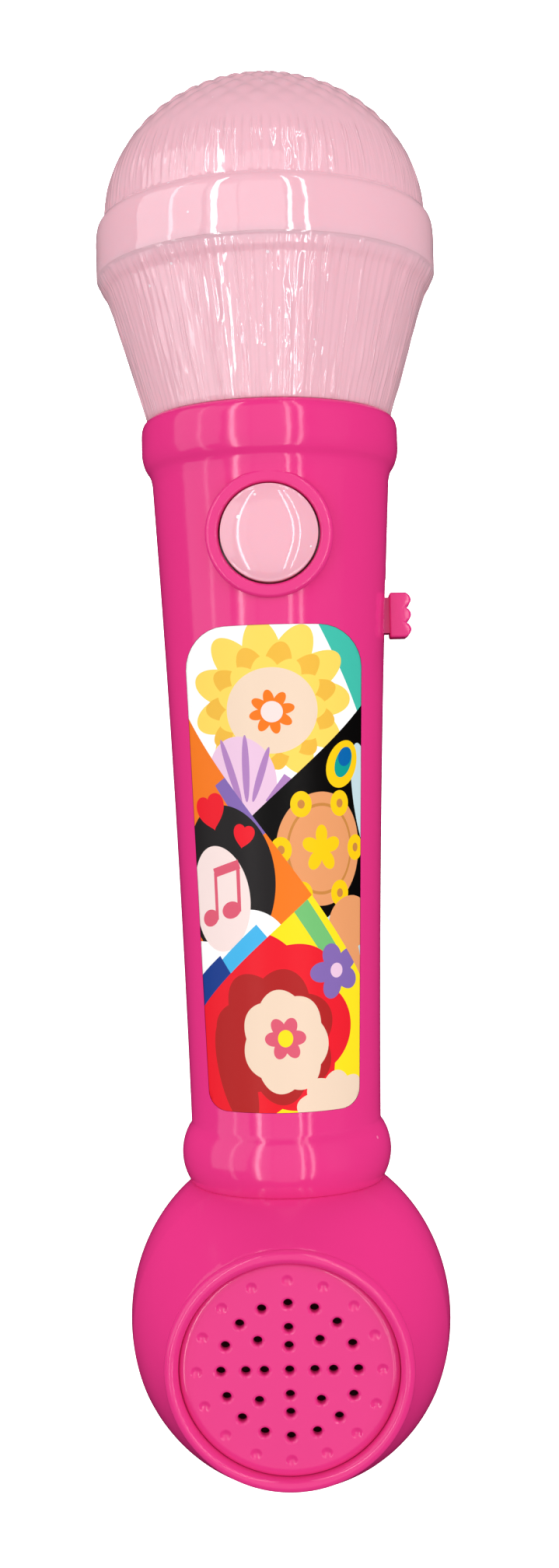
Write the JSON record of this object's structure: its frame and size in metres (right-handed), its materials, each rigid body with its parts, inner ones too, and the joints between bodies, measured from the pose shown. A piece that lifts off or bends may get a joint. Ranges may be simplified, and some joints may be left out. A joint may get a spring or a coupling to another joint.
{
  "type": "toy microphone",
  "caption": "Hand-held toy microphone with a domed light-up head, tapered handle, push button, slide switch, sticker and a round speaker foot.",
  "frame": {"origin": "on the handle's axis, at the middle of the grip where a hand holds it", "axes": "+Z along the handle towards the head, -Y out of the front with the button and speaker, +X towards the slide switch"},
  "size_m": [0.0572, 0.0572, 0.2368],
  "materials": {
    "head_pink": "glossy, slightly milky moulded plastic",
    "body_pink": "glossy moulded plastic",
    "button_pink": "glossy moulded plastic",
    "label": "printed vinyl sticker",
    "white_plastic": "matte",
    "black_plastic": "matte",
    "silicone": "soft matte",
    "board_green": "solder mask",
    "lamp_clear": "clear epoxy",
    "capacitor_blue": "shrink sleeve",
    "battery_sleeve": "printed sleeve",
    "steel": "plated",
    "wire_red": "insulation",
    "wire_black": "insulation"
  },
  "bodies": {
    "housing": {"front_shell": "body_pink", "rear_shell": "body_pink", "head_dome": "head_pink", "head_cone": "head_pink", "lamp_reflector": "white_plastic", "lamp_board": "board_green", "lamp": "lamp_clear", "label": "label", "speaker_grille": "body_pink", "speaker_basket": "steel", "speaker_magnet": "steel", "speaker_retainer": "black_plastic", "button_dome": "silicone", "switch_body": "steel", "main_board": "board_green", "sound_chip": "black_plastic", "capacitor": "capacitor_blue", "battery_tray": "white_plastic", "battery_left": "battery_sleeve", "battery_right": "battery_sleeve", "contact_positive": "steel", "contact_negative": "steel", "contact_bridge": "steel", "shell_screw_1": "steel", "shell_screw_2": "steel", "shell_screw_3": "steel", "shell_screw_4": "steel", "speaker_wire_red": "wire_red", "speaker_wire_black": "wire_black", "battery_wire_red": "wire_red", "battery_wire_black": "wire_black", "lamp_wire_red": "wire_red", "lamp_wire_black": "wire_black"},
    "button": {"push_button": "button_pink"},
    "switch_slider": {"switch_tab": "body_pink", "switch_lever": "black_plastic"},
    "door": {"battery_door": "body_pink"},
    "door_screw": {"door_screw": "steel"},
    "cone": {"speaker_cone": "black_plastic"}
  },
  "joints": [
    {"name": "button_press", "type": "slide", "parent": "housing", "child": "button", "axis": [0, 1, 0], "range_m": [0, 0.0012], "stiffness_N_per_m": 500, "springref_m": -0.0008, "deforming": ["button_dome"]},
    {"name": "switch_slide", "type": "slide", "parent": "housing", "child": "switch_slider", "axis": [0, 0, 1], "range_m": [0, 0.003]},
    {"name": "door_lift", "type": "slide", "parent": "housing", "child": "door", "axis": [0, 1, 0], "range_m": [0, 0.02]},
    {"name": "door_screw_turn", "type": "hinge", "parent": "door", "child": "door_screw", "pos_m": [0, 0.017, 0.006], "axis": [0, 1, 0], "continuous": true},
    {"name": "cone_stroke", "type": "slide", "parent": "housing", "child": "cone", "axis": [0, -0.9954, -0.0958], "range_m": [-0.0003, 0.0003], "stiffness_N_per_m": 800}
  ]
}
